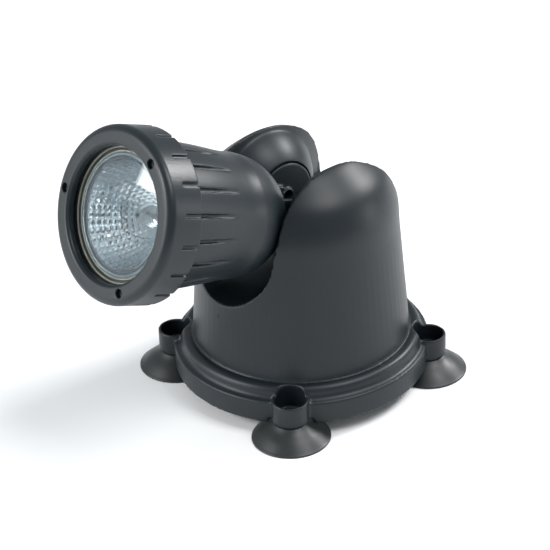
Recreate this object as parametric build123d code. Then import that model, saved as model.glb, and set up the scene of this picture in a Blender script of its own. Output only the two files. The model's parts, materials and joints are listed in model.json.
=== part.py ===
# Underwater pond light: a hollow bell on four rubber suction cups, with a
# tilting lamp head held between two rounded cheeks.
#
# Row frame: +Z up, the lamp head points along -Y, the tilt hinge runs along X.
# The origin is on the ground, at the centre of the whole light's footprint.
# Lamp frame: the head is drawn along its own +Z (the beam), with +Y up and X
# along the hinge; its origin is the foot of the hinge axis on the beam axis.
from math import cos, radians, sin, sqrt
import os

from build123d import *

# ---------------------------------------------------------------- base bell
WALL = 2.6                # wall of every large moulding
FLANGE_R = 55.0           # outside of the flange skirt
SKIRT_Z = 6.2             # lower edge of the skirt
RIM_Z = 16.2              # flat outer rim of the flange
BEAD_R = 48.9             # round bead between the bell and the rim
BEAD_Z = 18.7
BEAD_ROUND = 3.0
SWEEP = 2.5               # hollow curve from the bead down to the rim
FOOT_R = 46.8             # bell at the bead
FOOT_Z = 20.84
TAPER = 0.075             # loss of radius per mm of height
DOME_Z = 71.0             # where the cone turns into the dome
DOME_TOP = 108.6

# ------------------------------------------------------------ suction cups
CUP_COUNT = 4
CUP_PCR = 54.7            # radius of the circle that the cups stand on
CUP_R = 16.65
CUP_TOP = 8.2             # top face of the cup, against the socket's floor
SOCKET_R = 7.7
SOCKET_BORE = 6.5
SOCKET_FLOOR = 2.2
SOCKET_TOP = 18.4
NECK_R = 2.6              # cup's neck in the socket's floor
HEAD_R = 4.0
HEAD_LEN = 2.6

# -------------------------------------------------------------- tilt hinge
BEAM_Z = 74.8             # height at which the beam axis crosses the bell's axis
PIVOT_BACK = 1.4          # hinge behind the bell's axis
PIVOT_Z = 80.9
REST_TILT = 20.98         # beam above the horizontal at rest
EAR_GAP = 9.4             # half gap between the cheeks at the hinge
EAR_R = 14.4              # round recess in each cheek
RECESS = 12.4             # half gap at the bottom of the recesses
FLARE_W = 21.4            # half gap where the cheeks have rolled outwards
FLARE_R = 24.2
LUG_CLEAR = 0.3
LUG_R = 13.9
LUG_IN = 8.9              # inner face of each lug
WEB_IN = 6.9              # webs that join the lugs to the tail
TRUNNION_R = 4.2
TRUNNION_BORE = 2.3
TRUNNION_END = 17.0
COLLAR_R = 3.2            # raised collar round the bore, on the lug's inner face
COLLAR_LEN = 1.7
PIN_CLEAR = 0.06
MOUTH_R = 25.0            # round mouth in the bell's front
MOUTH_Z = 75.4
MOUTH_FLARE = 6.0         # widening of the mouth up to the crest, each side
MOUTH_FRONT = -31.4       # the mouth is a plain round hole in front of here
CRADLE_R = 22.0           # round bottom of the valley behind the hinge
VALLEY_FLOOR = 72.0       # its rear lip

# --------------------------------------------------------------- lamp head
HEAD_FRONT = 100.4         # face of the screw ring from the hinge, along the beam
TAIL = 15.0               # end of the housing's rounded tail
BODY_R = 26.4             # end of the rounded tail
BODY_AT = 43.8
SHOULDER_R = 30.7
SHOULDER_AT = 83.9
NECK_OUT = 31.2
NECK_FRONT = 92.5
RING_R = 35.9             # screw ring
RING_LEN = 17.0
RING_ROUND = 3.6          # rounded front corner
RING_INNER = 31.6
WINDOW_R = 27.6
LIP = 3.7
GLASS_R = 31.2
GLASS_T = 2.4
GLASS_PLAY = 0.05         # glass to the ring's lip, and seal to the neck
SEAL_IN = 27.2
GRIPS = 18
GRIP_LEN = 8.7
GRIP_W = 1.7
GRIP_DEPTH = 1.1
SPANNER_R = 1.9           # blind spanner holes
SPANNER_PCR = 31.1
SPANNER_DEPTH = 2.4
SPANNER_START = 59.9
FLUTE_LEN = 29.0
FLUTE_DEPTH = 1.7
FLUTE_END_R = 27.85       # body radius where a flute runs out
FLUTE_HALF_W = 0.8
LEDGE_R = 26.8            # bore behind the lamp's seat
SEAT_R = 28.0
SEAT_LEN = 4.0
WEB_LEN = 15.0            # webs from the lugs to the tail
WEB_FOOT = 3.5
WEB_H = 14.0
WEB_DROP = 3.0            # middle of the webs below the hinge

# ------------------------------------------------------- 50 mm reflector lamp
LAMP_R = 25.0
LAMP_FRONT = 93.7
LAMP_RIM = 2.4
DISH_R = 22.0
COVER_T = 1.6
NECK_BACK = 28.0          # depth of the dish's neck behind its front
CAP_BACK = 38.5
PIN_GAP = 5.3
PIN_R = 0.75
PIN_LEN = 7.2

UP = (Align.CENTER, Align.CENTER, Align.MIN)


def rod(radius, start, end, x=0.0, y=0.0):
    """Cylinder along Z between two heights."""
    return Pos(x, y, start) * Cylinder(radius, end - start, align=UP)


def tube(outer, inner, start, end, x=0.0, y=0.0):
    return rod(outer, start, end, x, y) - rod(inner, start - 1, end + 1, x, y)


def cross_rod(radius, start, end, y=0.0, z=0.0):
    """Cylinder along X between two stations."""
    return Pos(start, y, z) * Rot(0, 90, 0) * Cylinder(radius, end - start, align=UP)


def turned(*edges):
    """Solid of revolution about Z from a closed outline drawn in X (radius) and Z."""
    return revolve(Plane.XZ * make_face(Wire(list(edges))), Axis.Z)


def bell_profile(inset, bottom):
    """Outline of the bell's cone and dome, moved inwards by a wall."""
    foot = FOOT_R - inset
    shoulder = FOOT_R - TAPER * (DOME_Z - FOOT_Z) - inset
    cone = Line((foot, FOOT_Z), (shoulder, DOME_Z))
    dome = Spline(
        (shoulder, DOME_Z),
        (42.1 - inset, 83.5 - inset * 0.3),
        (39.9 - inset * 0.9, 90.2 - inset * 0.5),
        (36.6 - inset * 0.8, 96.0 - inset * 0.6),
        (29.0 - inset * 0.5, 102.9 - inset * 0.9),
        (0, DOME_TOP - inset),
        tangents=[(-TAPER, 1), (-1, 0)],
    )
    return [cone, dome, Line((0, DOME_TOP - inset), (0, bottom))]


def bell_skin():
    """Outside of the bell, flange and rim as one full body."""
    side = BEAD_R + BEAD_ROUND
    rim_in = side + SWEEP
    low = (side + SWEEP * (1 - sqrt(0.5)), BEAD_Z - SWEEP * sqrt(0.5))
    top = (BEAD_R + BEAD_ROUND * 0.5, BEAD_Z + BEAD_ROUND * sqrt(0.75))
    return turned(
        Line((0, SKIRT_Z), (FLANGE_R, SKIRT_Z)),
        Line((FLANGE_R, SKIRT_Z), (FLANGE_R, RIM_Z)),
        Line((FLANGE_R, RIM_Z), (rim_in, RIM_Z)),
        ThreePointArc((rim_in, RIM_Z), low, (side, BEAD_Z)),
        ThreePointArc((side, BEAD_Z), top, (FOOT_R, FOOT_Z)),
        *bell_profile(0, SKIRT_Z),
    )


def bell_core():
    """Hollow inside of the bell, open downwards."""
    deck = RIM_Z - WALL
    return turned(
        Line((0, SKIRT_Z - 1), (FLANGE_R - WALL, SKIRT_Z - 1)),
        Line((FLANGE_R - WALL, SKIRT_Z - 1), (FLANGE_R - WALL, deck)),
        Line((FLANGE_R - WALL, deck), (BEAD_R, deck)),
        Line((BEAD_R, deck), (BEAD_R - 1, BEAD_Z - 0.4)),
        Line((BEAD_R - 1, BEAD_Z - 0.4), (FOOT_R - WALL, BEAD_Z - 0.4)),
        Line((FOOT_R - WALL, BEAD_Z - 0.4), (FOOT_R - WALL, FOOT_Z)),
        *bell_profile(WALL, SKIRT_Z - 1),
    )


def valley(grow):
    """Space between the cheeks, with the front mouth; grow thickens it by a wall."""
    far = 46.0                # well outside the dome
    far_w = FLARE_W + (far - FLARE_R) * 0.5
    half = make_face(Wire([
        Line((0, 0), (EAR_GAP + grow, 0)),
        Line((EAR_GAP + grow, 0), (EAR_GAP + grow, EAR_R)),
        ThreePointArc((EAR_GAP + grow, EAR_R), (14.5 + grow, 19.9), (FLARE_W + grow, FLARE_R)),
        Line((FLARE_W + grow, FLARE_R), (far_w + grow, far)),
        Line((far_w + grow, far), (0, far)),
        Line((0, far), (0, 0)),
    ]))
    side = revolve(half, Axis.X)
    flare = Pos(0, PIVOT_BACK, PIVOT_Z) * (side + mirror(side, about=Plane.YZ))
    mouth_r = MOUTH_R + grow
    top_w = mouth_r + MOUTH_FLARE
    sides = Polyline((-mouth_r, 0), (mouth_r, 0), (top_w, far), (-top_w, far), close=True)
    funnel = Circle(mouth_r) + make_face(sides)
    throat = Pos(0, 80, MOUTH_Z) * extrude(Plane.XZ * funnel, amount=160)
    space = flare & throat
    space += Pos(0, MOUTH_FRONT, MOUTH_Z) * Rot(90, 0, 0) * Cylinder(mouth_r, 60, align=UP)
    lip = VALLEY_FLOOR - grow
    rear = Pos(0, PIVOT_BACK, 0) * Box(160, 100, lip, align=(Align.CENTER, Align.MIN, Align.MIN))
    return space - (rear - cross_rod(CRADLE_R + grow, -90, 90, PIVOT_BACK, PIVOT_Z))


def cup_spots():
    for index in range(CUP_COUNT):
        angle = radians(-135 + index * 360 / CUP_COUNT)
        yield CUP_PCR * cos(angle), CUP_PCR * sin(angle)


def make_bell():
    bell = bell_skin() - valley(0)
    core = bell_core() - valley(WALL)
    for side in (-1, 1):
        boss = cross_rod(TRUNNION_R + 3.4, RECESS, TRUNNION_END + 2.4, PIVOT_BACK, PIVOT_Z)
        cheek = cross_rod(EAR_R + WALL, EAR_GAP, RECESS + WALL, PIVOT_BACK, PIVOT_Z)
        core -= (boss + cheek) if side > 0 else mirror(boss + cheek, about=Plane.YZ)
    bell -= core
    for x, y in cup_spots():
        bell += rod(SOCKET_R, CUP_TOP, SOCKET_TOP, x, y)
        bell -= rod(SOCKET_BORE, CUP_TOP + SOCKET_FLOOR, BEAD_Z + BEAD_ROUND + 1, x, y)
        bell -= rod(NECK_R, CUP_TOP - 1, CUP_TOP + SOCKET_FLOOR + 1, x, y)
        bell -= rod(SOCKET_R + 1.8, 0, CUP_TOP, x, y)
    bell -= cross_rod(EAR_R, -RECESS, RECESS, PIVOT_BACK, PIVOT_Z)
    bore = TRUNNION_R + PIN_CLEAR
    bell -= cross_rod(bore, -TRUNNION_END - 0.5, TRUNNION_END + 0.5, PIVOT_BACK, PIVOT_Z)
    return bell


def make_cup(x, y):
    """Rubber cup with a hollow underside and a mushroom-headed neck."""
    floor = CUP_TOP + SOCKET_FLOOR
    dome = turned(
        Line((0, 0), (CUP_R, 0)),
        Line((CUP_R, 0), (CUP_R, 0.7)),
        Spline((CUP_R, 0.7), (12.4, 4.2), (9.0, 6.6), (7.2, CUP_TOP)),
        Line((7.2, CUP_TOP), (0, CUP_TOP)),
        Line((0, CUP_TOP), (0, 0)),
    )
    hollow = turned(
        Line((0, -1), (15.9, -1)),
        Line((15.9, -1), (15.9, 0)),
        Spline((15.9, 0), (11.2, 2.8), (6.0, 4.8), (0, 5.4), tangents=[(-1, 0.45), (-1, 0)]),
        Line((0, 5.4), (0, -1)),
    )
    knob = rod(HEAD_R, floor, floor + HEAD_LEN)
    knob = fillet(knob.edges().sort_by(Axis.Z)[-1], HEAD_LEN / 2)
    return Pos(x, y, 0) * (dome - hollow + rod(NECK_R, CUP_TOP - 1, floor + 1) + knob)


# ------------------------------------------------------------------ lamp head
def lamp_place():
    """The lamp frame's place in the row frame, before the footprint shift."""
    tilt = radians(REST_TILT)
    beam = Vector(0, -cos(tilt), sin(tilt))
    crossing = Vector(0, 0, BEAM_Z)
    along = (Vector(0, PIVOT_BACK, PIVOT_Z) - crossing).dot(beam)
    return Plane(origin=crossing + beam * along, x_dir=(1, 0, 0), z_dir=beam)


def hinge_lift():
    """Height of the hinge above the beam axis."""
    tilt = radians(REST_TILT)
    return (PIVOT_Z - BEAM_Z) * cos(tilt) + PIVOT_BACK * sin(tilt)


def housing_profile(inset):
    """Tail, body and shoulder of the housing, from the beam axis outwards."""
    tail = TAIL + inset
    depth = BODY_AT - tail
    body = BODY_R - inset
    bend = [(body * sin(a), BODY_AT - depth * cos(a)) for a in (radians(12 * k) for k in range(1, 8))]
    rear = Spline((0, tail), *bend, (body, BODY_AT), tangents=[(1, 0), (0.02, 1)])
    front = Spline(
        (body, BODY_AT), (27.6 - inset, 54.0), (29.3 - inset, 66.0), (SHOULDER_R - inset, SHOULDER_AT),
        tangents=[(0.02, 1), (0.06, 1)],
    )
    return rear, front


def make_housing():
    rear, front = housing_profile(0)
    skin = turned(
        rear, front,
        Line((SHOULDER_R, SHOULDER_AT), (NECK_OUT, SHOULDER_AT + 0.6)),
        Line((NECK_OUT, SHOULDER_AT + 0.6), (NECK_OUT, NECK_FRONT)),
        Line((NECK_OUT, NECK_FRONT), (0, NECK_FRONT)),
        Line((0, NECK_FRONT), (0, TAIL)),
    )
    seat = NECK_FRONT - SEAT_LEN
    rear_in, front_in = housing_profile(WALL)
    inner = SHOULDER_R - WALL
    core = turned(
        rear_in, front_in,
        Line((inner, SHOULDER_AT), (LEDGE_R, SHOULDER_AT + 3.0)),
        Line((LEDGE_R, SHOULDER_AT + 3.0), (LEDGE_R, seat)),
        Line((LEDGE_R, seat), (SEAT_R, seat)),
        Line((SEAT_R, seat), (SEAT_R, NECK_FRONT + 1)),
        Line((SEAT_R, NECK_FRONT + 1), (0, NECK_FRONT + 1)),
        Line((0, NECK_FRONT + 1), (0, TAIL + WALL)),
    )
    core -= rod(GLAND_BOSS_R, 0, GLAND_IN, 0, GLAND_Y)
    core += rod(GLAND_POCKET_R, GLAND_IN, GLAND_IN + 5, 0, GLAND_Y)
    for index in range(GRIPS):
        angle = (index + 0.5) * 360 / GRIPS
        flute = Plane.YZ * make_face(Polyline(
            (SHOULDER_R - FLUTE_DEPTH, SHOULDER_AT - 1), (FLUTE_END_R, SHOULDER_AT - FLUTE_LEN),
            (SHOULDER_R + 4, SHOULDER_AT - FLUTE_LEN), (SHOULDER_R + 4, SHOULDER_AT - 1), close=True))
        skin -= Rot(0, 0, angle) * extrude(flute, amount=FLUTE_HALF_W, both=True)
    lift = hinge_lift()
    fork = cross_rod(LUG_R, LUG_IN, RECESS - LUG_CLEAR, lift, 0)
    web_out = EAR_GAP - 0.4
    web = Box(web_out - WEB_IN, WEB_H, WEB_LEN, align=UP)
    fork += Pos((WEB_IN + web_out) / 2, lift - WEB_DROP, WEB_FOOT) * web
    fork += cross_rod(TRUNNION_R, LUG_IN, TRUNNION_END, lift, 0)
    fork += cross_rod(COLLAR_R, LUG_IN - COLLAR_LEN, LUG_IN + 1, lift, 0)
    fork -= cross_rod(TRUNNION_BORE, LUG_IN - COLLAR_LEN - 1, TRUNNION_END + 1, lift, 0)
    skin += fork + mirror(fork, about=Plane.YZ)
    return skin - core - gland_hole() - o_ring_groove()


GLAND_Y = -4.5            # cable inlet below the beam axis
GLAND_BORE = 4.0
GLAND_IN = TAIL + 3.9     # inner face of the tail's wall at the inlet
NUT_AT = TAIL - 12.0      # rear face of the gland nut's hexagon
NUT_LEN = 7.0
GLAND_BOSS_R = 8.0        # thick round the inlet, inside the tail
GLAND_POCKET_R = 6.2      # flat pocket that the gland's flange sits in
GROMMET_R = 2.9
CABLE_R = 2.2


def gland_hole():
    return rod(GLAND_BORE, NUT_AT, GLAND_IN + 8, 0, GLAND_Y)


O_RING_AT = 87.2
O_RING_R = 30.5
O_RING_SECTION = 0.95


def o_ring_groove():
    return tube(NECK_OUT + 1, 29.5, O_RING_AT - 1.05, O_RING_AT + 1.05)


def make_bezel():
    rear = HEAD_FRONT - RING_LEN
    lip_back = HEAD_FRONT - LIP
    rolled = RING_R - RING_ROUND
    corner = HEAD_FRONT - RING_ROUND
    ring = turned(
        Line((RING_INNER, rear), (RING_R - 0.4, rear)),
        Line((RING_R - 0.4, rear), (RING_R, rear + 0.4)),
        Line((RING_R, rear + 0.4), (RING_R, corner)),
        ThreePointArc((RING_R, corner), (RING_R - 1.0, HEAD_FRONT - 1.0), (rolled, HEAD_FRONT)),
        Line((rolled, HEAD_FRONT), (28.6, HEAD_FRONT)),
        Line((28.6, HEAD_FRONT), (WINDOW_R, HEAD_FRONT - 1.0)),
        Line((WINDOW_R, HEAD_FRONT - 1.0), (WINDOW_R, lip_back)),
        Line((WINDOW_R, lip_back), (RING_INNER, lip_back)),
        Line((RING_INNER, lip_back), (RING_INNER, rear)),
    )
    for index in range(GRIPS):
        notch = Pos(RING_R, 0, rear + GRIP_LEN / 2 - 0.5) * Box(2 * GRIP_DEPTH, GRIP_W, GRIP_LEN + 1)
        ring -= Rot(0, 0, index * 360 / GRIPS) * notch
    for index in range(3):
        angle = radians(SPANNER_START + 120 * index)
        x, y = SPANNER_PCR * cos(angle), SPANNER_PCR * sin(angle)
        ring -= rod(SPANNER_R, HEAD_FRONT - SPANNER_DEPTH, HEAD_FRONT + 1, x, y)
    return ring


def make_reflector():
    """Faceted glass dish with its flat rim and short neck; the facets are a surface finish."""
    back = LAMP_FRONT - NECK_BACK
    rim_back = LAMP_FRONT - LAMP_RIM
    seat = LAMP_FRONT - COVER_T
    return turned(
        Line((LAMP_R, LAMP_FRONT), (LAMP_R, rim_back)),
        Line((LAMP_R, rim_back), (23.8, rim_back)),
        Spline((23.8, rim_back), (21.0, rim_back - 7.5), (15.6, rim_back - 16.5), (9.6, back)),
        Line((9.6, back), (6.6, back)),
        Line((6.6, back), (6.6, back + 3.0)),
        Spline((6.6, back + 3.0), (13.2, back + 9.2), (19.0, back + 17.0), (DISH_R, seat)),
        Line((DISH_R, seat), (23.4, seat)),
        Line((23.4, seat), (23.4, LAMP_FRONT)),
        Line((23.4, LAMP_FRONT), (LAMP_R, LAMP_FRONT)),
    )


def make_capsule():
    """Quartz bulb with a pinched foot and a sealing tip, hollow inside."""
    foot = LAMP_FRONT - 31.0
    shell = turned(
        Line((0, foot + 8), (2.4, foot + 8)),
        Spline((2.4, foot + 8), (4.6, foot + 11), (4.7, foot + 17), (2.6, foot + 20.8), (0.9, foot + 21.8)),
        Line((0.9, foot + 21.8), (0, foot + 23.4)),
        Line((0, foot + 23.4), (0, foot + 8)),
    )
    hollow = turned(
        Line((0, foot + 9.6), (1.8, foot + 9.8)),
        Spline((1.8, foot + 9.8), (3.6, foot + 12), (3.7, foot + 16.4), (1.4, foot + 19.9),
               (0, foot + 20.4)),
        Line((0, foot + 20.4), (0, foot + 9.6)),
    )
    pinch = Pos(0, 0, foot) * Box(8.4, 3.0, 8.6, align=UP)
    return shell + pinch - hollow


def make_filament():
    length = 5.4
    return Pos(0, 0, LAMP_FRONT - 16.0) * Rot(0, 90, 0) * (
        Cylinder(0.85, length) - Cylinder(0.45, length + 1))


def make_post(side):
    bottom = LAMP_FRONT - 21.1
    return rod(0.25, bottom, LAMP_FRONT - 16.9, side * 1.4)


def make_cap():
    back = LAMP_FRONT - CAP_BACK
    block = Pos(0, 0, back) * Box(17.0, 9.6, CAP_BACK - NECK_BACK, align=UP)
    block = fillet(block.edges().filter_by(Axis.Z), 2.2)
    spigot = rod(6.3, LAMP_FRONT - NECK_BACK, LAMP_FRONT - NECK_BACK + 2.6)
    slot = Pos(0, 0, LAMP_FRONT - 31.0) * Box(8.4, 3.0, 12, align=UP)
    holes = rod(PIN_R, back - 1, back + 4, PIN_GAP / 2) + rod(PIN_R, back - 1, back + 4, -PIN_GAP / 2)
    return block + spigot - slot - holes


def make_pin(side):
    back = LAMP_FRONT - CAP_BACK
    return rod(PIN_R, back - PIN_LEN, back + 4, side * PIN_GAP / 2)


HOLDER_T = 11.0
SCREW_X = 7.2             # fixing screws from the holder's middle
HOLDER_FRONT = LAMP_FRONT - CAP_BACK - 0.4


def make_holder():
    body = Pos(0, 0, HOLDER_FRONT - HOLDER_T) * Box(19.0, 11.0, HOLDER_T, align=UP)
    body = fillet(body.edges().filter_by(Axis.Z), 2.0)
    for side in (-1, 1):
        body -= rod(1.5, HOLDER_FRONT - HOLDER_T - 1, HOLDER_FRONT + 1, side * PIN_GAP / 2)
        body -= rod(1.7, HOLDER_FRONT - HOLDER_T - 1, HOLDER_FRONT + 1, side * SCREW_X)
    return body


def make_contact(side):
    x = side * PIN_GAP / 2
    return tube(1.5, PIN_R, HOLDER_FRONT - HOLDER_T + 1, HOLDER_FRONT - 0.6, x)


BRACKET_T = 1.0
BRACKET_AT = HOLDER_FRONT - HOLDER_T - BRACKET_T


def bracket_reach():
    """Half length of the strap, up to the housing's inside wall at its station."""
    depth = BODY_AT - TAIL - WALL
    return (BODY_R - WALL) * sqrt(1 - ((BODY_AT - BRACKET_AT) / depth) ** 2)


def make_bracket():
    """Steel strap across the housing behind the holder, with turned-up ends."""
    reach = bracket_reach() - 0.5
    strap = Pos(0, 0, BRACKET_AT) * Box(2 * reach, 9.0, BRACKET_T, align=UP)
    strap = strap & rod(reach, BRACKET_AT - 1, BRACKET_AT + 2)
    strap -= Pos(0, 0, BRACKET_AT - 1) * Box(8.6, 4.4, BRACKET_T + 2, align=UP)
    for side in (-1, 1):
        strap -= rod(1.5, BRACKET_AT - 1, BRACKET_AT + 2, side * SCREW_X)
    return strap


def make_screw(side):
    """Pan-head screw through the holder into the strap."""
    x = side * SCREW_X
    screw = rod(1.45, BRACKET_AT, HOLDER_FRONT - 1.8, x)
    screw = screw + rod(1.6, HOLDER_FRONT - 1.8, HOLDER_FRONT - 0.3, x)
    return screw - Pos(x, 0, HOLDER_FRONT - 0.9) * Box(2.4, 0.6, 2, align=UP)


def make_lead(side):
    """Insulated lead from a contact to the gland."""
    x = side * PIN_GAP / 2
    start = BRACKET_AT + BRACKET_T + 0.6
    end_x = side * 1.6
    path = FilletPolyline(
        (x, 0, start), (x, 0, start - 6), (end_x, GLAND_Y, GLAND_IN + 6), (end_x, GLAND_Y, GLAND_IN - 3),
        radius=3.0)
    return sweep(Plane(origin=path @ 0, z_dir=path % 0) * Circle(1.1), path=path)


def make_gland_body():
    """Threaded inlet sleeve with its inside flange."""
    sleeve = tube(GLAND_BORE, GROMMET_R, NUT_AT + 1.2, GLAND_IN, 0, GLAND_Y)
    return sleeve + tube(5.6, GROMMET_R, GLAND_IN, GLAND_IN + 1.4, 0, GLAND_Y)


def make_grommet():
    return tube(GROMMET_R, CABLE_R, NUT_AT - 1.2, GLAND_IN - 4, 0, GLAND_Y)


def make_gland_nut():
    """Hexagonal cap nut that squeezes the grommet."""
    hexagon = Pos(0, GLAND_Y, NUT_AT) * extrude(RegularPolygon(6.6, 6), amount=NUT_LEN)
    hexagon = hexagon & (Pos(0, GLAND_Y, NUT_AT + NUT_LEN / 2) * Sphere(7.2))
    cap = hexagon + rod(4.6, NUT_AT - 1.9, NUT_AT + 1, 0, GLAND_Y)
    cap -= rod(GLAND_BORE, NUT_AT + 1.2, NUT_AT + 9, 0, GLAND_Y)
    return cap - rod(GROMMET_R + 0.1, NUT_AT - 3, NUT_AT + 2, 0, GLAND_Y)


def lamp_pieces():
    """Every piece of the lamp head, in the lamp frame."""
    glass_front = HEAD_FRONT - LIP - GLASS_PLAY
    glass_back = glass_front - GLASS_T
    pieces = {
        "lamp_housing": make_housing(),
        "neck_o_ring": Pos(0, 0, O_RING_AT) * Torus(O_RING_R, O_RING_SECTION),
        "seat_ring": tube(SEAT_R - 0.1, 24.0, NECK_FRONT - SEAT_LEN, LAMP_FRONT - LAMP_RIM),
        "front_glass": rod(GLASS_R, glass_back, glass_front),
        "glass_seal": tube(GLASS_R, SEAL_IN, NECK_FRONT + GLASS_PLAY, glass_back),
        "bezel_ring": make_bezel(),
        "reflector": make_reflector(),
        "reflector_cover": rod(23.4, LAMP_FRONT - COVER_T, LAMP_FRONT),
        "capsule": make_capsule(),
        "filament": make_filament(),
        "lamp_cap": make_cap(),
        "lamp_holder": make_holder(),
        "holder_bracket": make_bracket(),
        "gland_body": make_gland_body(),
        "gland_grommet": make_grommet(),
        "gland_nut": make_gland_nut(),
    }
    for index, side in enumerate((-1, 1), start=1):
        pieces[f"filament_post_{index}"] = make_post(side)
        pieces[f"cap_pin_{index}"] = make_pin(side)
        pieces[f"holder_contact_{index}"] = make_contact(side)
        pieces[f"bracket_screw_{index}"] = make_screw(side)
        pieces[f"lead_wire_{index}"] = make_lead(side)
    return pieces


def footprint_shift(front):
    """Shift along Y that centres the light between the rear cups and the screw ring's front."""
    back = CUP_PCR * cos(radians(45)) + CUP_R
    return -(back + front) / 2


def build():
    place = lamp_place()
    head = {name: place.location * piece for name, piece in lamp_pieces().items()}
    front = min(piece.bounding_box().min.Y for piece in head.values())
    shift = Pos(0, footprint_shift(front), 0)
    pieces = {"base_bell": make_bell()}
    for index, (x, y) in enumerate(cup_spots(), start=1):
        pieces[f"suction_cup_{index}"] = make_cup(x, y)
    pieces.update(head)
    os.makedirs("parts", exist_ok=True)
    for name, piece in pieces.items():
        export_step(shift * piece, f"parts/{name}.step")
    pivot = shift.position + Vector(0, PIVOT_BACK, PIVOT_Z)
    beam_foot = shift.position + place.origin
    print("footprint shift", round(shift.position.Y, 4))
    print("hinge", [round(v, 4) for v in pivot], "beam foot", [round(v, 4) for v in beam_foot])
    print("beam", [round(v, 6) for v in place.z_dir], "hinge lift", round(hinge_lift(), 4))


build()
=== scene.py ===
import json
from math import cos, pi, radians, sin, tau

import bmesh
import bpy
from mathutils import Matrix, Vector


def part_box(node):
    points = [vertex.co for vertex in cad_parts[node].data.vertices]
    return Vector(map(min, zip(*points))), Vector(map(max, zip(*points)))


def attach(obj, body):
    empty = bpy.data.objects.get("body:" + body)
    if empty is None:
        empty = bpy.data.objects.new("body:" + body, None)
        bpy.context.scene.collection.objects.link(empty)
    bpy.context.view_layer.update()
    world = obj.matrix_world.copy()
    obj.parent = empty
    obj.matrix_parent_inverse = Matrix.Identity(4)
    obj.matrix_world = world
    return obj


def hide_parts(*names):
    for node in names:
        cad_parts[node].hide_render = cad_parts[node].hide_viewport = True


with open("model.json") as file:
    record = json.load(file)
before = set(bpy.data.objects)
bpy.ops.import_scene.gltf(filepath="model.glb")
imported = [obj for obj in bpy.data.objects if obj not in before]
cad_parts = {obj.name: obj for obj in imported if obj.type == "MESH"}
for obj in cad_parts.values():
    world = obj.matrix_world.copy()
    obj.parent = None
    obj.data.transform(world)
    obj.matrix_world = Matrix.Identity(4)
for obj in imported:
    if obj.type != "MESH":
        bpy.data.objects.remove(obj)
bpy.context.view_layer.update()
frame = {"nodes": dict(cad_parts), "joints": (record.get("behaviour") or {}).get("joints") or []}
MM = 0.001


# ---------------------------------------------------------------- base bell
# The bell is one hollow injection moulding in charcoal ABS, with a satin spark-eroded
# finish. Its edges are rounded by the tool, and the two cheeks that hold the lamp head
# roll outwards into the crest.

BELL_EDGE = 0.58 * MM       # spacing of the skin that rounds the bell's edges
BELL_PASSES = 5             # times that the skin is relaxed
BELL_KEEP = 0.32            # share of the skin's triangles that is kept
ABS_CHARCOAL = "#10171B"
ABS_PALE = "#171F24"
BELL_GLOSS = 0.40
GRAIN = 0.45 * MM           # spark-erosion grain is 0.05 mm; coarser here, so that it shows
GRAIN_DEPTH = 0.03 * MM
FLOW = 26 * MM              # slow change of gloss where the melt flowed


def linear(code):
    """An sRGB hex colour as linear red, green, blue and alpha."""
    parts = [int(code[at:at + 2], 16) / 255 for at in (1, 3, 5)]
    return [*(p / 12.92 if p <= 0.04045 else ((p + 0.055) / 1.055) ** 2.4 for p in parts), 1.0]


def add(tree, kind, inputs=(), **settings):
    """Adds a node. An input, by name or number, takes a value or another node's output."""
    made = tree.nodes.new(kind)
    for key, value in settings.items():
        setattr(made, key, value)
    for key, value in dict(inputs).items():
        if isinstance(value, bpy.types.NodeSocket):
            tree.links.new(value, made.inputs[key])
        else:
            made.inputs[key].default_value = value
    return made


def new_material(name, **uniform):
    """A material with one Principled shader, whose even values are set on its sockets."""
    made = bpy.data.materials.new(name)
    made.use_nodes = True
    tree = made.node_tree
    shader = tree.nodes["Principled BSDF"]
    for key, value in uniform.items():
        shader.inputs[key.replace("_", " ")].default_value = value
    return made, tree, shader


def moulded_abs(name, dark, pale, gloss, grain_depth=GRAIN_DEPTH):
    """Moulded ABS: an even dye, a fine grain that breaks up the gloss, and slow flow marks."""
    made, tree, shader = new_material(name, IOR=1.53, Specular_IOR_Level=0.34)
    place = add(tree, "ShaderNodeTexCoord")
    flow = add(tree, "ShaderNodeTexNoise", {
        "Vector": place.outputs["Object"], "Scale": 1 / FLOW, "Detail": 3.0})
    colour = add(tree, "ShaderNodeMix", {
        "Factor": flow.outputs["Fac"], "A": linear(dark), "B": linear(pale)}, data_type="RGBA")
    tree.links.new(colour.outputs["Result"], shader.inputs["Base Color"])
    grain = add(tree, "ShaderNodeTexNoise", {
        "Vector": place.outputs["Object"], "Scale": 1 / GRAIN, "Detail": 2.0, "Roughness": 0.6})
    rough = add(tree, "ShaderNodeMapRange", {
        "Value": flow.outputs["Fac"], "To Min": gloss - 0.04, "To Max": gloss + 0.05})
    tree.links.new(rough.outputs["Result"], shader.inputs["Roughness"])
    bump = add(tree, "ShaderNodeBump", {
        "Height": grain.outputs["Fac"], "Strength": 0.35, "Distance": grain_depth})
    tree.links.new(bump.outputs["Normal"], shader.inputs["Normal"])
    return made


def new_piece(name, mesh):
    """An object in the scene, at the origin."""
    made = bpy.data.objects.new(name, mesh)
    bpy.context.scene.collection.objects.link(made)
    return made


def settled(piece):
    """Applies a piece's modifiers to its mesh and takes them off."""
    bpy.context.view_layer.update()
    shown = piece.evaluated_get(bpy.context.evaluated_depsgraph_get())
    piece.data = bpy.data.meshes.new_from_object(shown)
    piece.modifiers.clear()
    return piece


def finished(piece, body, slot, *nodes):
    """Gives a piece its body and hides the nodes it stands for; the slot is not used."""
    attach(piece, body)
    if nodes:
        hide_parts(*nodes)
    return piece


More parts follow.
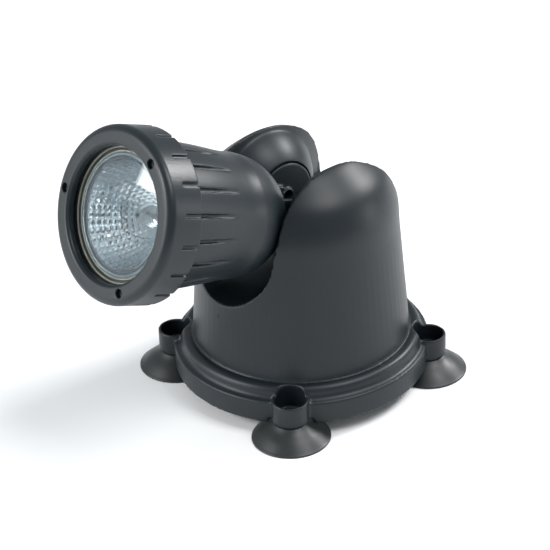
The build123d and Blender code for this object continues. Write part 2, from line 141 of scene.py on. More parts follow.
def rounded_moulding(node, name, spacing, passes, keep=1.0):
    """A node's own shape with soft moulded edges: an even skin is laid over it and relaxed."""
    mesh = frame["nodes"][node].data.copy()
    mesh.materials.clear()
    shell = bmesh.new()
    shell.from_mesh(mesh)
    bmesh.ops.remove_doubles(shell, verts=shell.verts, dist=0.002 * MM)
    shell.to_mesh(mesh)
    shell.free()
    piece = new_piece(name, mesh)
    skin = piece.modifiers.new("skin", "REMESH")
    skin.mode = "VOXEL"
    skin.voxel_size = spacing
    skin.use_smooth_shade = True
    relax = piece.modifiers.new("relax", "SMOOTH")
    relax.factor = 0.5
    relax.iterations = passes
    if keep < 1:
        thin = piece.modifiers.new("thin", "DECIMATE")
        thin.ratio = keep
    return settled(piece)


bell = rounded_moulding("base_bell", "bell", BELL_EDGE, BELL_PASSES, BELL_KEEP)
bell.data.materials.append(moulded_abs("bell_moulded_abs", ABS_CHARCOAL, ABS_PALE, BELL_GLOSS))
finished(bell, "base", "bell_plastic", "base_bell")


# ------------------------------------------------------------- suction cups
# Four soft rubber cups, each turned from one profile: a thin flared lip, a hollow
# underside, and a neck with a mushroom head that snaps up through its socket's floor.

CUP_COUNT = 4
CUP_PCR = 54.7 * MM         # radius of the circle that the cups stand on
CUP_LIP_R = 16.62
CUP_TOP = 8.2               # face against the socket's floor
CUP_NECK_R = 2.6
CUP_KNOB_FROM = 10.4
RUBBER = "#101416"
RUBBER_DUSTY = "#171D1F"
RUBBER_GLOSS = 0.4
BLOOM = 5 * MM              # dusty patches on handled rubber
PORES = 0.5 * MM            # moulding pores, drawn coarser than the real 0.1 mm


def turned(name, outline, steps=96):
    """A closed turned mesh about Z from (radius, height) points; radius 0 makes a pole."""
    shape = bmesh.new()
    rows = []
    for radius, height in outline:
        if radius == 0:
            rows.append([shape.verts.new((0, 0, height))] * steps)
        else:
            rows.append([
                shape.verts.new((radius * cos(tau * k / steps), radius * sin(tau * k / steps), height))
                for k in range(steps)])
    closed = outline[0][0] == 0
    pairs = zip(rows, rows[1:]) if closed else zip(rows, rows[1:] + rows[:1])
    for low, high in pairs:
        for k in range(steps):
            ring = [low[k], low[(k + 1) % steps], high[(k + 1) % steps], high[k]]
            corners = list(dict.fromkeys(ring))
            if len(corners) > 2:
                shape.faces.new(corners).smooth = True
    bmesh.ops.recalc_face_normals(shape, faces=shape.faces)
    mesh = bpy.data.meshes.new(name)
    shape.to_mesh(mesh)
    shape.free()
    return mesh


def smooth_run(points, steps=6):
    """Points along a smooth curve through the given ones."""
    run = []
    for at in range(len(points) - 1):
        a = points[max(at - 1, 0)]
        b = points[at]
        c = points[at + 1]
        d = points[min(at + 2, len(points) - 1)]
        for k in range(steps):
            t = k / steps
            run.append(tuple(
                0.5 * (2 * q + (r - p) * t + (2 * p - 5 * q + 4 * r - s) * t * t
                       + (3 * q - p - 3 * r + s) * t ** 3)
                for p, q, r, s in zip(a, b, c, d)))
    return run + [points[-1]]


def scaled(points, unit=MM):
    """Points given in millimetres, in metres."""
    return [(radius * unit, height * unit) for radius, height in points]


def cup_outline():
    """One cup's profile: hollow, lip, flared dome, neck and knob."""
    hollow = smooth_run([(0, 5.3), (6.0, 4.7), (11.2, 2.7), (15.6, 0.15)])
    lip = [(15.9, 0.0), (16.5, 0.0), (CUP_LIP_R, 0.12), (CUP_LIP_R, 0.6), (16.5, 0.78)]
    dome = smooth_run([(16.2, 0.95), (12.5, 4.1), (9.0, 6.5), (7.3, 7.95)])
    neck = [(7.0, CUP_TOP - 0.05), (6.6, CUP_TOP), (CUP_NECK_R + 0.1, CUP_TOP),
            (CUP_NECK_R, CUP_TOP + 0.15), (CUP_NECK_R, CUP_KNOB_FROM)]
    knob = smooth_run([(3.7, CUP_KNOB_FROM), (4.0, 10.7), (4.0, 11.6), (3.4, 12.6), (2.2, 13.0)], steps=3)
    return scaled(hollow + lip + dome + neck + knob + [(0, 13.0)])


def node_tree(name, inputs):
    """An empty geometry tree with its named inputs, and its input and output nodes."""
    tree = bpy.data.node_groups.new(name, "GeometryNodeTree")
    tree.interface.new_socket("Geometry", in_out="INPUT", socket_type="NodeSocketGeometry")
    tree.interface.new_socket("Geometry", in_out="OUTPUT", socket_type="NodeSocketGeometry")
    for label, kind in inputs.items():
        tree.interface.new_socket(label, in_out="INPUT", socket_type="NodeSocket" + kind)
    return tree, tree.nodes.new("NodeGroupInput"), tree.nodes.new("NodeGroupOutput")


def grown(name, tree, values, mesh=None):
    """A piece made by a geometry tree, with the tree's inputs set, as a plain mesh."""
    piece = new_piece(name, mesh or bpy.data.meshes.new(name))
    grow = piece.modifiers.new("grow", "NODES")
    grow.node_group = tree
    for item in tree.interface.items_tree:
        if item.in_out == "INPUT" and item.name in values:
            grow[item.identifier] = values[item.name]
    return settled(piece)


def end_tree(tree, out, geometry, material):
    """Ends a tree with real geometry and its material."""
    real = add(tree, "GeometryNodeRealizeInstances", {"Geometry": geometry})
    painted = add(tree, "GeometryNodeSetMaterial", {"Geometry": real.outputs[0], "Material": material})
    tree.links.new(painted.outputs[0], out.inputs["Geometry"])


def moulded_rubber(name, dark, pale, gloss=0.5):
    """Moulded rubber: nearly black, soft gloss, faint dusty bloom in random patches."""
    made, tree, shader = new_material(name, IOR=1.52, Sheen_Weight=0.08, Sheen_Roughness=0.5)
    place = add(tree, "ShaderNodeTexCoord")
    bloom = add(tree, "ShaderNodeTexNoise", {
        "Vector": place.outputs["Object"], "Scale": 1 / BLOOM, "Detail": 4.0})
    colour = add(tree, "ShaderNodeMix", {
        "Factor": bloom.outputs["Fac"], "A": linear(dark), "B": linear(pale)}, data_type="RGBA")
    tree.links.new(colour.outputs["Result"], shader.inputs["Base Color"])
    rough = add(tree, "ShaderNodeMapRange", {
        "Value": bloom.outputs["Fac"], "To Min": gloss - 0.06, "To Max": gloss + 0.1})
    tree.links.new(rough.outputs["Result"], shader.inputs["Roughness"])
    pores = add(tree, "ShaderNodeTexNoise", {
        "Vector": place.outputs["Object"], "Scale": 1 / PORES, "Detail": 2.0})
    bump = add(tree, "ShaderNodeBump", {
        "Height": pores.outputs["Fac"], "Strength": 0.3, "Distance": 0.03 * MM})
    tree.links.new(bump.outputs["Normal"], shader.inputs["Normal"])
    return made


def cup_ring_tree(material):
    """Sets one cup at each corner of a square round the bell's axis."""
    tree, source, out = node_tree("cups_in_a_ring", {
        "Count": "Int", "Circle Radius": "Float", "Turn": "Float", "Centre": "Vector"})
    ring = add(tree, "GeometryNodeMeshCircle", {
        "Vertices": source.outputs["Count"], "Radius": source.outputs["Circle Radius"]})
    spin = add(tree, "ShaderNodeCombineXYZ", {"Z": source.outputs["Turn"]})
    placed = add(tree, "GeometryNodeTransform", {
        "Geometry": ring.outputs["Mesh"], "Rotation": spin.outputs["Vector"],
        "Translation": source.outputs["Centre"]})
    cups = add(tree, "GeometryNodeInstanceOnPoints", {
        "Points": placed.outputs["Geometry"], "Instance": source.outputs["Geometry"]})
    end_tree(tree, out, cups.outputs["Instances"], material)
    return tree


cup_low, cup_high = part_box("suction_cup_1")
opposite_low, opposite_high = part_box("suction_cup_3")
bell_axis = (cup_low + cup_high + opposite_low + opposite_high) / 4
cup_rubber = moulded_rubber("cup_moulded_rubber", RUBBER, RUBBER_DUSTY, RUBBER_GLOSS)
cups = grown("suction_cups", cup_ring_tree(cup_rubber), {
    "Count": CUP_COUNT, "Circle Radius": CUP_PCR, "Turn": radians(45),
    "Centre": (bell_axis.x, bell_axis.y, 0.0)}, turned("cup", cup_outline()))
finished(cups, "base", "cup_rubber", *(f"suction_cup_{k}" for k in range(1, CUP_COUNT + 1)))


# ---------------------------------------------------------------- gate mark
# The bell was filled through one pin gate low on its front. The gate left a small dark
# crater with a torn rim in the ABS.

GATE_NEAR = (0.6 * MM, -19.5 * MM, 44.3 * MM)
TORN_ABS = "#07090A"
TORN_ABS_PALE = "#0C0F10"

gate_spot, gate_normal = bell.closest_point_on_mesh(GATE_NEAR)[1:3]
gate = new_piece("gate_mark", turned("gate_mark", scaled([
    (0, -0.02), (0.4, 0.0), (0.62, 0.07), (0.76, 0.03), (0.8, -0.3), (0, -0.3)]), steps=24))
gate.data.transform(
    Matrix.Translation(gate_spot) @ gate_normal.to_track_quat("Z", "Y").to_matrix().to_4x4())
gate.data.materials.append(moulded_abs("torn_abs", TORN_ABS, TORN_ABS_PALE, 0.6))
finished(gate, "base", "bell_plastic")


# -------------------------------------------------------------- lamp housing
# The housing is the second large moulding: a rounded tail, a body with eighteen short
# grip flutes that run out towards the tail, and a fork whose trunnions turn in the
# cheeks. It is the same satin ABS.

HOUSING_EDGE = 0.42 * MM
HOUSING_PASSES = 2
HOUSING_KEEP = 0.37
HEAD_ABS = "#141B1F"
HEAD_ABS_PALE = "#1C252A"
HEAD_GLOSS = 0.38

joints = {joint["name"]: joint for joint in frame["joints"]}
beam = Vector(joints["ring_turn"]["axis"]).normalized()
foot = Vector(joints["ring_turn"]["pos_m"])
across = Vector((1, 0, 0))
HEAD = Matrix.Translation(foot) @ Matrix((across, beam.cross(across), beam)).transposed().to_4x4()

housing = rounded_moulding("lamp_housing", "housing", HOUSING_EDGE, HOUSING_PASSES, HOUSING_KEEP)
housing.data.materials.append(moulded_abs("head_moulded_abs", HEAD_ABS, HEAD_ABS_PALE, HEAD_GLOSS))
finished(housing, "lamp", "housing_plastic", "lamp_housing")


# ---------------------------------------------------------------- screw ring
# The ring screws over the housing's neck and clamps the window. Eighteen short notches
# give wet fingers a grip, and three blind holes in its face take a pin spanner.

RING_EDGE = 0.34 * MM
RING_PASSES = 2
RING_KEEP = 0.74
RING_GLOSS = 0.34           # hands have polished the ring a little

ring = rounded_moulding("bezel_ring", "screw_ring_bezel", RING_EDGE, RING_PASSES, RING_KEEP)
ring.data.materials.append(moulded_abs("ring_moulded_abs", HEAD_ABS, HEAD_ABS_PALE, RING_GLOSS))
finished(ring, "screw_ring", "ring_plastic", "bezel_ring")


# ------------------------------------------------------------ window and seal
# The window is a flat disc of toughened glass with a ground edge. Behind it lies a
# black nitrile ring with a thin cream silicone bead, which shows as a pale line.

GLASS_R = 31.2              # the head's sizes are millimetres, with lengths along the beam
GLASS_BACK = 94.25
GLASS_FRONT = 96.65
GLASS_ARRIS = 0.4           # ground edge
SEAL_BACK = 92.55
SEAL_IN = 27.2
BEAD_IN = 26.7
NITRILE = "#17191A"
NITRILE_DUSTY = "#202425"
SILICONE = "#BDB8A4"
SILICONE_PALE = "#CDC9B8"
TOUGHENED = "#F7FCFC"
SMEARS = 9 * MM             # size of the faint wiping marks on the glass


def clear_glass(name, tint, ior, smear):
    """Clear glass: sharp reflections with a few faint smears, and a slight green body."""
    made, tree, shader = new_material(
        name, IOR=ior, Transmission_Weight=1.0, Base_Color=linear(tint), Specular_IOR_Level=0.5)
    place = add(tree, "ShaderNodeTexCoord")
    wipe = add(tree, "ShaderNodeTexNoise", {
        "Vector": place.outputs["Object"], "Scale": 1 / SMEARS, "Detail": 3.0})
    rough = add(tree, "ShaderNodeMapRange", {
        "Value": wipe.outputs["Fac"], "From Min": 0.45, "From Max": 0.8, "To Min": 0.0, "To Max": smear})
    tree.links.new(rough.outputs["Result"], shader.inputs["Roughness"])
    return made


def in_head(mesh):
    """Moves a mesh made about Z to the head, with the beam for its Z."""
    mesh.transform(HEAD)
    return mesh


window_glass = clear_glass("window_toughened_glass", TOUGHENED, 1.5, 0.03)
pane = new_piece("window_pane", in_head(turned("window_pane", scaled([
    (0, GLASS_BACK), (GLASS_R - GLASS_ARRIS, GLASS_BACK), (GLASS_R, GLASS_BACK + GLASS_ARRIS),
    (GLASS_R, GLASS_FRONT - GLASS_ARRIS), (GLASS_R - GLASS_ARRIS, GLASS_FRONT),
    (0, GLASS_FRONT)]), steps=128)))
pane.data.polygons.foreach_set("use_smooth", [False] * len(pane.data.polygons))
pane.data.materials.append(window_glass)
finished(pane, "window", "window_glass", "front_glass")


def dressed(material, *nodes):
    """Gives CAD nodes whose shape is right their finish."""
    for node in nodes:
        for place in frame["nodes"][node].material_slots:
            place.material = material


def ring_piece(name, outline, material, body, slot, *nodes):
    """A ring of the head, turned about the beam."""
    made = new_piece(name, in_head(turned(name, scaled(outline), steps=128)))
    made.data.materials.append(material)
    return finished(made, body, slot, *nodes)


nitrile = moulded_rubber("nitrile_rubber", NITRILE, NITRILE_DUSTY)
cream_silicone = moulded_rubber("cream_silicone", SILICONE, SILICONE_PALE, 0.42)
ring_piece("window_seal", [
    (SEAL_IN + 0.15, SEAL_BACK), (GLASS_R - 0.1, SEAL_BACK), (GLASS_R, SEAL_BACK + 0.1),
    (GLASS_R, GLASS_BACK - 0.02), (SEAL_IN + 0.2, GLASS_BACK - 0.02), (SEAL_IN, GLASS_BACK - 0.25),
    (SEAL_IN, SEAL_BACK + 0.2)], nitrile, "window", "seal_silicone", "glass_seal")
ring_piece("seal_bead", [
    (BEAD_IN, 93.7), (BEAD_IN + 0.3, 93.5), (SEAL_IN + 0.05, 93.6), (SEAL_IN + 0.05, 94.15),
    (BEAD_IN + 0.2, 94.2), (BEAD_IN, 94.0)], cream_silicone, "window", "seal_silicone")
dressed(nitrile, "neck_o_ring", "gland_grommet")


# -------------------------------------------------------------- lamp seat
# A black collar in the neck centres the reflector lamp, and a thin cream lip that
# stands up round the lamp's rim shows as a second pale line inside the seal.

SEAT_IN = 24.0
SEAT_R = 27.9
SEAT_BACK = 88.5
SEAT_FRONT = 91.3
LIP_IN = 25.1
LIP_FRONT = 93.5

ring_piece("lamp_seat", [
    (SEAT_IN, SEAT_BACK), (SEAT_R - 0.1, SEAT_BACK), (SEAT_R, SEAT_BACK + 0.1),
    (SEAT_R, SEAT_FRONT - 0.1), (SEAT_R - 0.1, SEAT_FRONT), (SEAT_IN, SEAT_FRONT)],
    nitrile, "lamp", "seat_plastic", "seat_ring")
ring_piece("seat_lip", [
    (LIP_IN, SEAT_FRONT), (LIP_IN + 0.5, SEAT_FRONT), (LIP_IN + 0.55, LIP_FRONT - 0.2),
    (LIP_IN + 0.45, LIP_FRONT), (LIP_IN + 0.15, LIP_FRONT), (LIP_IN, LIP_FRONT - 0.2)],
    cream_silicone, "lamp", "seat_plastic")


# ---------------------------------------------------------- reflector lamp dish
# The lamp is the common 50 mm pressed-glass dish. The inside is pressed into rings of
# small flat facets and coated with a cool dichroic mirror, which passes some blue and
# green; the rim is bare glass.

RIM_R = 25.0
RIM_FRONT = 93.7
RIM_BACK = 91.3
SEAT_AT = 92.1              # ledge that the cover glass lies on
DISH_LONG = 31.1            # the dish is part of an ellipsoid
DISH_WIDE = 22.46
DISH_CENTRE = 98.4
DISH_FROM = radians(17.1)
DISH_TO = radians(78.4)
FACET_RINGS = 13
FACET_SECTORS = 44
FACET_SWELL = 0.2
FACET_CUTS = 3              # faces along each side of a facet
COAT = 0.12
COAT_COOL = "#D9E2E8"
COAT_NEUTRAL = "#F7F8FA"
COAT_DRIFT = 14 * MM        # slow change of the coat's tint
COAT_HAZE = 1.2 * MM
PRESSED_DARK = "#5F6E78"
PRESSED_PALE = "#8796A0"
SEEDS = 2.5 * MM            # small bubbles in pressed glass


def dichroic_mirror():
    """Dichroic coat on facets: a bright mirror whose tint drifts from cool to neutral."""
    made, tree, shader = new_material("dichroic_facets", Metallic=1.0)
    place = add(tree, "ShaderNodeTexCoord")
    drift = add(tree, "ShaderNodeTexNoise", {
        "Vector": place.outputs["Object"], "Scale": 1 / COAT_DRIFT, "Detail": 1.0})
    ramp = add(tree, "ShaderNodeValToRGB", {"Fac": drift.outputs["Fac"]})
    ramp.color_ramp.elements[0].position = 0.35
    ramp.color_ramp.elements[0].color = linear(COAT_COOL)
    ramp.color_ramp.elements[1].position = 0.65
    ramp.color_ramp.elements[1].color = linear(COAT_NEUTRAL)
    tree.links.new(ramp.outputs["Color"], shader.inputs["Base Color"])
    haze = add(tree, "ShaderNodeTexNoise", {
        "Vector": place.outputs["Object"], "Scale": 1 / COAT_HAZE, "Detail": 2.0})
    rough = add(tree, "ShaderNodeMapRange", {
        "Value": haze.outputs["Fac"], "To Min": 0.04, "To Max": 0.12})
    tree.links.new(rough.outputs["Result"], shader.inputs["Roughness"])
    return made


def facet_tree(material):
    """Rings of facets on an ellipsoid: a grid is rolled up, and each facet swells a little."""
    tree, source, out = node_tree("facet_dish", {
        "Rings": "Int", "Sectors": "Int", "Cuts": "Int", "Wide": "Float", "Long": "Float",
        "Centre": "Float", "From": "Float", "To": "Float", "Swell": "Float"})

    given = source.outputs
    across_faces = add(tree, "ShaderNodeMath", {
        0: given["Rings"], 1: given["Cuts"]}, operation="MULTIPLY")
    across_points = add(tree, "ShaderNodeMath", {0: across_faces.outputs[0], 1: 1.0}, operation="ADD")
    round_faces = add(tree, "ShaderNodeMath", {
        0: given["Sectors"], 1: given["Cuts"]}, operation="MULTIPLY")
    round_points = add(tree, "ShaderNodeMath", {0: round_faces.outputs[0], 1: 1.0}, operation="ADD")
    grid = add(tree, "GeometryNodeMeshGrid", {
        "Size X": 1.0, "Size Y": 1.0, "Vertices X": across_points.outputs[0],
        "Vertices Y": round_points.outputs[0]})
    spot = add(tree, "GeometryNodeInputPosition")
    split = add(tree, "ShaderNodeSeparateXYZ", {0: spot.outputs[0]})
    out_share = add(tree, "ShaderNodeMath", {0: split.outputs["X"], 1: 0.5}, operation="ADD")
    round_share = add(tree, "ShaderNodeMath", {0: split.outputs["Y"], 1: 0.5}, operation="ADD")

    # how far from the dish's axis the point leans, and where it is round the axis
    spread = add(tree, "ShaderNodeMath", {0: given["To"], 1: given["From"]}, operation="SUBTRACT")
    lean = add(tree, "ShaderNodeMath", {
        0: out_share.outputs[0], 1: spread.outputs[0], 2: given["From"]}, operation="MULTIPLY_ADD")
    lean_sine = add(tree, "ShaderNodeMath", {0: lean.outputs[0]}, operation="SINE")
    lean_cosine = add(tree, "ShaderNodeMath", {0: lean.outputs[0]}, operation="COSINE")
    angle = add(tree, "ShaderNodeMath", {0: round_share.outputs[0], 1: tau}, operation="MULTIPLY")

    # each facet swells inwards in its middle, and is at the dish's wall on its edges
    ring_count = add(tree, "ShaderNodeMath", {
        0: out_share.outputs[0], 1: given["Rings"]}, operation="MULTIPLY")
    ring_angle = add(tree, "ShaderNodeMath", {0: ring_count.outputs[0], 1: pi}, operation="MULTIPLY")
    ring_wave = add(tree, "ShaderNodeMath", {0: ring_angle.outputs[0]}, operation="SINE")
    sector_count = add(tree, "ShaderNodeMath", {
        0: round_share.outputs[0], 1: given["Sectors"]}, operation="MULTIPLY")
    sector_angle = add(tree, "ShaderNodeMath", {0: sector_count.outputs[0], 1: pi}, operation="MULTIPLY")
    sector_wave = add(tree, "ShaderNodeMath", {0: sector_angle.outputs[0]}, operation="SINE")
    both_waves = add(tree, "ShaderNodeMath", {
        0: ring_wave.outputs[0], 1: sector_wave.outputs[0]}, operation="MULTIPLY")
    wave = add(tree, "ShaderNodeMath", {0: both_waves.outputs[0]}, operation="ABSOLUTE")
    swell = add(tree, "ShaderNodeMath", {0: wave.outputs[0], 1: given["Swell"]}, operation="MULTIPLY")

    # the point's radius and height, rolled round the axis
    wall = add(tree, "ShaderNodeMath", {
        0: given["Wide"], 1: lean_sine.outputs[0]}, operation="MULTIPLY")
    radius = add(tree, "ShaderNodeMath", {0: wall.outputs[0], 1: swell.outputs[0]}, operation="SUBTRACT")
    depth = add(tree, "ShaderNodeMath", {
        0: given["Long"], 1: lean_cosine.outputs[0]}, operation="MULTIPLY")
    height = add(tree, "ShaderNodeMath", {0: given["Centre"], 1: depth.outputs[0]}, operation="SUBTRACT")
    flat = add(tree, "ShaderNodeCombineXYZ", {"X": radius.outputs[0], "Z": height.outputs[0]})
    place = add(tree, "ShaderNodeVectorRotate", {
        "Vector": flat.outputs[0], "Angle": angle.outputs[0]}, rotation_type="Z_AXIS")
    rolled = add(tree, "GeometryNodeSetPosition", {
        "Geometry": grid.outputs["Mesh"], "Position": place.outputs[0]})
    closed = add(tree, "GeometryNodeMergeByDistance", {
        "Geometry": rolled.outputs[0], "Distance": 0.002 * MM})
    end_tree(tree, out, closed.outputs[0], material)
    return tree


facets = grown("mirror_facets", facet_tree(dichroic_mirror()), {
    "Rings": FACET_RINGS, "Sectors": FACET_SECTORS, "Cuts": FACET_CUTS, "Wide": DISH_WIDE * MM,
    "Long": DISH_LONG * MM, "Centre": DISH_CENTRE * MM, "From": DISH_FROM, "To": DISH_TO,
    "Swell": FACET_SWELL * MM})
in_head(facets.data)
coat = facets.modifiers.new("coat", "SOLIDIFY")
coat.thickness = COAT * MM
coat.offset = -1
settled(facets)
finished(facets, "lamp", "facet_mirror")


def pressed_glass():
    """Pressed glass seen against its coat: blue-grey and glossy, with fine seed marks."""
    made, tree, shader = new_material("pressed_glass_rim", IOR=1.5, Coat_Weight=0.6, Coat_Roughness=0.05)
    place = add(tree, "ShaderNodeTexCoord")
    seeds = add(tree, "ShaderNodeTexNoise", {
        "Vector": place.outputs["Object"], "Scale": 1 / SEEDS, "Detail": 3.0})
    colour = add(tree, "ShaderNodeMix", {
        "Factor": seeds.outputs["Fac"], "A": linear(PRESSED_DARK), "B": linear(PRESSED_PALE)},
        data_type="RGBA")
    tree.links.new(colour.outputs["Result"], shader.inputs["Base Color"])
    rough = add(tree, "ShaderNodeMapRange", {
        "Value": seeds.outputs["Fac"], "To Min": 0.12, "To Max": 0.3})
    tree.links.new(rough.outputs["Result"], shader.inputs["Roughness"])
    return made


def dish_line(inset, count=16):
    """Points down the inside of the dish, behind the facets."""
    for k in range(count + 1):
        lean = DISH_TO + (DISH_FROM - DISH_TO) * k / count
        yield DISH_WIDE * sin(lean) + inset, DISH_CENTRE - DISH_LONG * cos(lean)


dish_back = smooth_run([(23.8, RIM_BACK), (21.0, 83.8), (15.6, 74.8), (9.6, 65.7)])
dish = new_piece("reflector_glass", in_head(turned("reflector_glass", scaled(
    [(6.75, 65.7), (6.75, 68.6)] + list(dish_line(COAT + 0.05))[::-1]
    + [(22.2, SEAT_AT), (23.4, SEAT_AT), (23.4, RIM_FRONT - 0.2), (23.6, RIM_FRONT),
       (RIM_R - 0.3, RIM_FRONT), (RIM_R, RIM_FRONT - 0.3), (RIM_R, RIM_BACK + 0.3),
       (RIM_R - 0.3, RIM_BACK)] + dish_back), steps=128)))
dish.data.materials.append(pressed_glass())
finished(dish, "lamp", "facet_mirror", "reflector")


# ------------------------------------------------------- cover glass and bulb
# A thin clear disc is cemented in the dish's mouth. The quartz bulb behind it has a
# pinched foot; a coiled tungsten filament hangs across it on two molybdenum posts.

FILAMENT_AT = 77.7
FILAMENT_LEN = 5.2
COIL_R = 0.66
WIRE_R = 0.13
TURNS = 13
TUNGSTEN = "#8C8A88"
QUARTZ = "#F7F9FA"
SODA_GLASS = "#FAFCFD"

dressed(clear_glass("cover_soda_glass", SODA_GLASS, 1.5, 0.02), "reflector_cover")
dressed(clear_glass("capsule_quartz", QUARTZ, 1.46, 0.02), "capsule")


def plain_metal(name, colour, gloss, line, bump_depth=0.01 * MM):
    """Bare metal: even colour, with fine lines along one way from drawing or rolling."""
    made, tree, shader = new_material(name, Metallic=1.0, Base_Color=linear(colour))
    place = add(tree, "ShaderNodeTexCoord")
    stretch = add(tree, "ShaderNodeMapping", {
        "Vector": place.outputs["Object"], "Scale": (1.0, 0.15, 1.0)})
    lines = add(tree, "ShaderNodeTexNoise", {
        "Vector": stretch.outputs["Vector"], "Scale": 1 / line, "Detail": 2.0})
    rough = add(tree, "ShaderNodeMapRange", {
        "Value": lines.outputs["Fac"], "To Min": gloss - 0.08, "To Max": gloss + 0.1})
    tree.links.new(rough.outputs["Result"], shader.inputs["Roughness"])
    bump = add(tree, "ShaderNodeBump", {
        "Height": lines.outputs["Fac"], "Strength": 0.2, "Distance": bump_depth})
    tree.links.new(bump.outputs["Normal"], shader.inputs["Normal"])
    return made


def coil_tree(material):
    """A close coil of round wire along Z."""
    tree, source, out = node_tree("coiled_filament", {
        "Turns": "Float", "Coil Radius": "Float", "Length": "Float", "Wire Radius": "Float"})
    given = source.outputs
    spiral = add(tree, "GeometryNodeCurveSpiral", {
        "Resolution": 20, "Rotations": given["Turns"], "Start Radius": given["Coil Radius"],
        "End Radius": given["Coil Radius"], "Height": given["Length"]})
    section = add(tree, "GeometryNodeCurvePrimitiveCircle", {
        "Resolution": 8, "Radius": given["Wire Radius"]})
    wire = add(tree, "GeometryNodeCurveToMesh", {
        "Curve": spiral.outputs[0], "Profile Curve": section.outputs[0], "Fill Caps": True})
    end_tree(tree, out, wire.outputs[0], material)
    return tree


tungsten = plain_metal("drawn_tungsten", TUNGSTEN, 0.35, 0.2 * MM)
coil = grown("filament_coil", coil_tree(tungsten), {
    "Turns": float(TURNS), "Coil Radius": COIL_R * MM, "Length": FILAMENT_LEN * MM,
    "Wire Radius": WIRE_R * MM})
coil.data.transform(Matrix.Rotation(pi / 2, 4, "Y"))
coil.data.transform(Matrix.Translation((-FILAMENT_LEN / 2 * MM, 0, FILAMENT_AT * MM)))
in_head(coil.data)
finished(coil, "lamp", "tungsten", "filament")
dressed(tungsten, "filament_post_1", "filament_post_2")


# ------------------------------------------------------ cap, holder and leads
# The lamp's steatite cap is cemented to the dish's neck and plugs into a steatite
# holder with brass contacts, screwed to a rolled steel strap. Two leads in woven
# glass sleeves run to the cable inlet.

STEATITE = "#E6E2D6"
STEATITE_SPECK = "#B8B2A2"
SPECKS = 0.8 * MM
SLEEVE = "#D8D1BE"
SLEEVE_SHADE = "#AFA792"
SLEEVE_PITCH = 0.7 * MM
ROLLED_STEEL = "#B4B6B8"
DRAWN_BRASS = "#C9A75B"


def steatite():
    """Unglazed steatite: off-white, matt, with fine dark specks from the fired body."""
    made, tree, shader = new_material("fired_steatite", IOR=1.55)
    place = add(tree, "ShaderNodeTexCoord")
    specks = add(tree, "ShaderNodeTexNoise", {
        "Vector": place.outputs["Object"], "Scale": 1 / SPECKS, "Detail": 3.0})
    ramp = add(tree, "ShaderNodeValToRGB", {"Fac": specks.outputs["Fac"]})
    ramp.color_ramp.elements[0].position = 0.28
    ramp.color_ramp.elements[0].color = linear(STEATITE_SPECK)
    ramp.color_ramp.elements[1].position = 0.42
    ramp.color_ramp.elements[1].color = linear(STEATITE)
    tree.links.new(ramp.outputs["Color"], shader.inputs["Base Color"])
    rough = add(tree, "ShaderNodeMapRange", {
        "Value": specks.outputs["Fac"], "To Min": 0.55, "To Max": 0.75})
    tree.links.new(rough.outputs["Result"], shader.inputs["Roughness"])
    bump = add(tree, "ShaderNodeBump", {
        "Height": specks.outputs["Fac"], "Strength": 0.3, "Distance": 0.04 * MM})
    tree.links.new(bump.outputs["Normal"], shader.inputs["Normal"])
    return made


def woven_sleeve():
    """Woven glass sleeve: crossed threads, cream, with a soft sheen."""
    made, tree, shader = new_material("woven_glass_sleeve", Sheen_Weight=0.2, Roughness=0.6)
    place = add(tree, "ShaderNodeTexCoord")
    threads = add(tree, "ShaderNodeTexVoronoi", {
        "Vector": place.outputs["Object"], "Scale": 1 / SLEEVE_PITCH})
    colour = add(tree, "ShaderNodeMix", {
        "Factor": threads.outputs["Distance"], "A": linear(SLEEVE), "B": linear(SLEEVE_SHADE)},
        data_type="RGBA")
    tree.links.new(colour.outputs["Result"], shader.inputs["Base Color"])
    bump = add(tree, "ShaderNodeBump", {
        "Height": threads.outputs["Distance"], "Strength": 0.5, "Distance": 0.08 * MM})
    tree.links.new(bump.outputs["Normal"], shader.inputs["Normal"])
    return made


rolled_steel = plain_metal("rolled_steel", ROLLED_STEEL, 0.32, 0.5 * MM)
dressed(steatite(), "lamp_cap", "lamp_holder")
dressed(rolled_steel, "cap_pin_1", "cap_pin_2", "holder_bracket", "bracket_screw_1", "bracket_screw_2")
dressed(plain_metal("drawn_brass", DRAWN_BRASS, 0.3, 0.4 * MM), "holder_contact_1", "holder_contact_2")
dressed(woven_sleeve(), "lead_wire_1", "lead_wire_2")


# ---------------------------------------------------------------- cable inlet
# A hexagonal cap nut squeezes a rubber grommet in a threaded sleeve under the tail.
# Both are turned from glass-filled nylon, a little rougher than the housing.

NUT_EDGE = 0.24 * MM
NUT_PASSES = 3
NYLON = "#202527"
NYLON_PALE = "#292F31"

gland_nylon = moulded_abs("gland_glass_nylon", NYLON, NYLON_PALE, 0.5, 0.05 * MM)
nut = rounded_moulding("gland_nut", "inlet_nut", NUT_EDGE, NUT_PASSES)
nut.data.materials.append(gland_nylon)
finished(nut, "lamp", "nut_plastic", "gland_nut")
dressed(gland_nylon, "gland_body")


# --------------------------------------------------------- studio and camera
# A seamless pale floor in an even bright room, a soft key to the front left, a softbox
# overhead, a smaller one behind that draws the highlights on the crests, a weak strip on
# the right, and a broad panel on the left that the window and the facets reflect.

FLOOR_HALF = 6.0
FLOOR_WHITE = "#FBFBFB"
AIR = "#DCE3E8"
AIR_STRENGTH = 0.62
VIEW_AZIMUTH = 51.5
VIEW_ELEVATION = 30.44
VIEW_ROLL = -2.23
CAMERA_AT = (0.6847, -0.5324, 0.5653)
LENS = 157.1


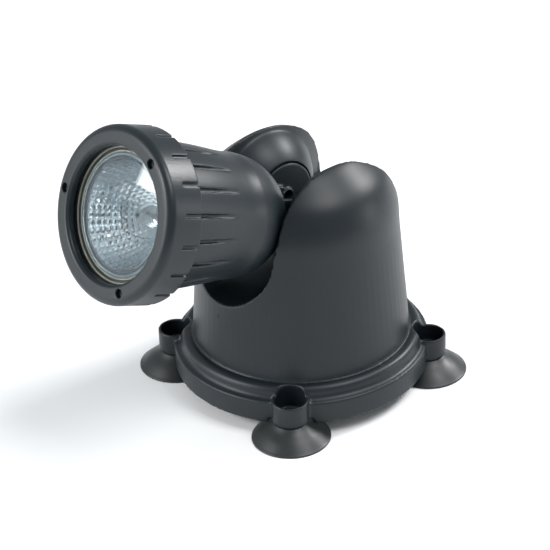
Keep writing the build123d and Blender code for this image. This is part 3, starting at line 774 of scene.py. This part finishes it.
def floor_plane():
    """A wide flat floor of pale paper."""
    mesh = bpy.data.meshes.new("studio_floor")
    corners = [(-FLOOR_HALF, -FLOOR_HALF, 0), (FLOOR_HALF, -FLOOR_HALF, 0),
               (FLOOR_HALF, FLOOR_HALF, 0), (-FLOOR_HALF, FLOOR_HALF, 0)]
    mesh.from_pydata(corners, [], [(0, 1, 2, 3)])
    made, tree, shader = new_material("pale_floor", Roughness=0.7, Base_Color=linear(FLOOR_WHITE))
    mesh.materials.append(made)
    return new_piece("studio_floor", mesh)


def softbox(name, spot, target, width, height, power):
    """A rectangular softbox that faces a point."""
    lamp = bpy.data.lights.new(name, "AREA")
    lamp.shape = "RECTANGLE"
    lamp.size = width
    lamp.size_y = height
    lamp.energy = power
    made = new_piece(name, lamp)
    made.location = spot
    made.rotation_euler = (Vector(target) - Vector(spot)).to_track_quat("-Z", "Y").to_euler()
    return made


floor_plane()
middle = Vector((0.0, 0.0, 0.06))
softbox("key_front_left", (-0.35, -1.25, 0.95), middle, 0.36, 0.3, 7.5)
softbox("overhead", (0.55, 0.25, 1.1), middle, 0.5, 0.5, 7.0)
softbox("crest_back", (0.2, 1.02, 0.76), middle, 0.3, 0.3, 10.5)
softbox("strip_right", (0.85, 1.0, 0.22), middle, 0.2, 0.3, 1.6)
softbox("panel_left", (-0.53, -1.10, 0.44), middle, 0.9, 0.7, 9.0)

world = bpy.data.worlds.new("studio_air")
world.use_nodes = True
world.node_tree.nodes["Background"].inputs["Color"].default_value = linear(AIR)
world.node_tree.nodes["Background"].inputs["Strength"].default_value = AIR_STRENGTH
bpy.context.scene.world = world
bpy.context.scene.view_settings.view_transform = "Standard"

camera = new_piece("camera", bpy.data.cameras.new("camera"))
camera.data.lens = LENS
camera.data.sensor_width = 36
camera.matrix_world = (
    Matrix.Translation(CAMERA_AT) @ Matrix.Rotation(radians(VIEW_AZIMUTH), 4, "Z")
    @ Matrix.Rotation(radians(90 - VIEW_ELEVATION), 4, "X") @ Matrix.Rotation(radians(VIEW_ROLL), 4, "Z"))
bpy.context.scene.camera = camera
